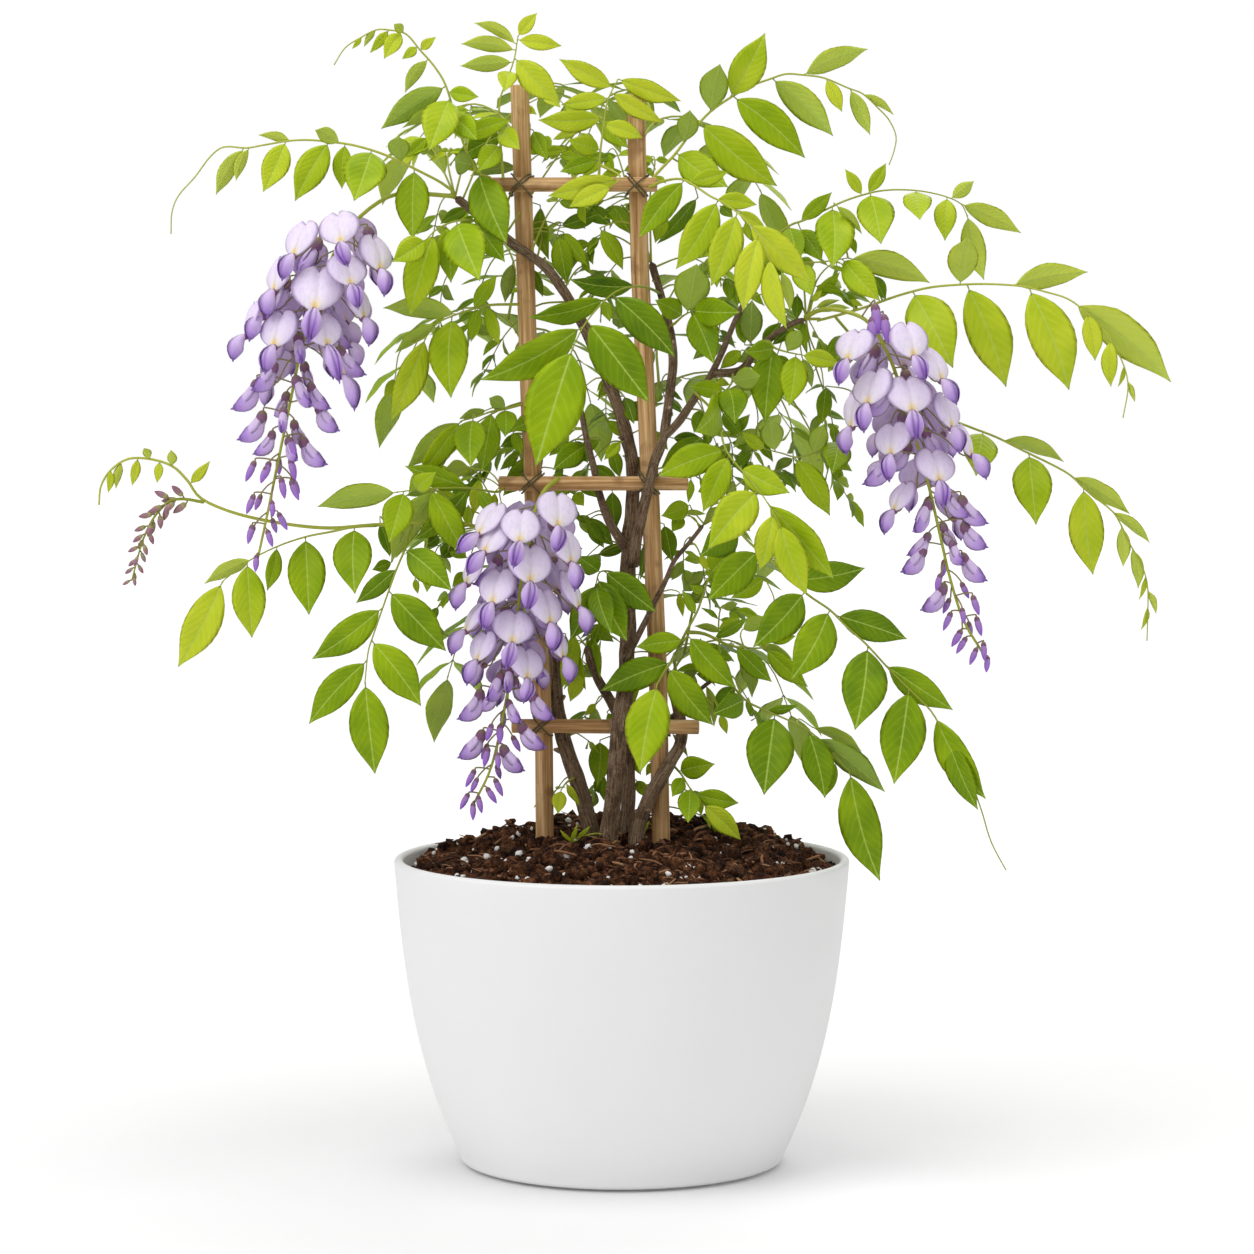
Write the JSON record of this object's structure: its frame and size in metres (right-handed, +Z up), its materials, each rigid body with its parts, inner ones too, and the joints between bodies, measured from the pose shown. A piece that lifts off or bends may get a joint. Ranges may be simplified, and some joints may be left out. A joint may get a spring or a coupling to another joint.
{
  "type": "wisteria in a pot",
  "caption": "Potted climbing wisteria tied to a small ladder of two stakes and crossbars, with pinnate leaves and hanging flower clusters.",
  "frame": {"origin": "centre of the pot's foot, on the surface that it stands on", "axes": "+Z up along the pot's axis, +X to the right and -Y towards the viewer of the picture"},
  "size_m": [0.6226, 0.2931, 0.6766],
  "materials": {
    "pot_white": "satin white",
    "potting_mix": "matt, crumbly potting mix",
    "stake_wood": "bare wood with grain",
    "twine": "rough dark twine",
    "bark": "fibrous grey-brown bark",
    "leaf_green": "satin leaf with paler veins",
    "petal_lilac": "soft matt petals"
  },
  "bodies": {
    "root": {"pot": "pot_white", "soil": "potting_mix", "upright_left": "stake_wood", "upright_right": "stake_wood", "crossbar_top": "stake_wood", "crossbar_middle": "stake_wood", "crossbar_bottom": "stake_wood", "tie_top_left": "twine", "tie_top_right": "twine", "tie_middle_left": "twine", "tie_middle_right": "twine", "tie_bottom_left": "twine", "tie_bottom_right": "twine", "trunk_main": "bark", "trunk_back": "bark", "trunk_left": "bark", "trunk_right": "bark", "arm_left": "bark", "arm_right": "bark", "stem_centre": "bark", "stem_right_middle": "bark", "stem_right_low": "bark", "raceme_left": "petal_lilac", "raceme_centre": "petal_lilac", "raceme_right": "petal_lilac", "raceme_buds": "petal_lilac", "shoot_left": "leaf_green", "shoot_right": "leaf_green", "leaf_left_low": "leaf_green", "leaf_left_hanging": "leaf_green", "leaf_left_middle": "leaf_green", "leaf_left_upper": "leaf_green", "leaf_left_of_stake": "leaf_green", "leaf_left_shoulder": "leaf_green", "leaf_front_centre": "leaf_green", "leaf_centre_low": "leaf_green", "leaf_top_left_tendril": "leaf_green", "leaf_top_left": "leaf_green", "leaf_top_centre": "leaf_green", "leaf_top_right": "leaf_green", "leaf_high_right": "leaf_green", "leaf_high_front": "leaf_green", "leaf_upper_right": "leaf_green", "leaf_far_right": "leaf_green", "leaf_right_behind": "leaf_green", "leaf_right_small": "leaf_green", "leaf_right_long": "leaf_green", "leaf_right_upper": "leaf_green", "leaf_right_tip": "leaf_green", "leaf_right_shoulder": "leaf_green", "leaf_right_hanging": "leaf_green", "leaf_right_spur": "leaf_green", "leaf_bottom_right": "leaf_green", "leaf_bottom_left": "leaf_green", "leaf_back_high_left": "leaf_green", "leaf_back_high_right": "leaf_green", "leaf_back_left": "leaf_green", "leaf_back_right": "leaf_green", "leaf_back_low_left": "leaf_green", "leaf_back_low_right": "leaf_green"}
  },
  "joints": []
}
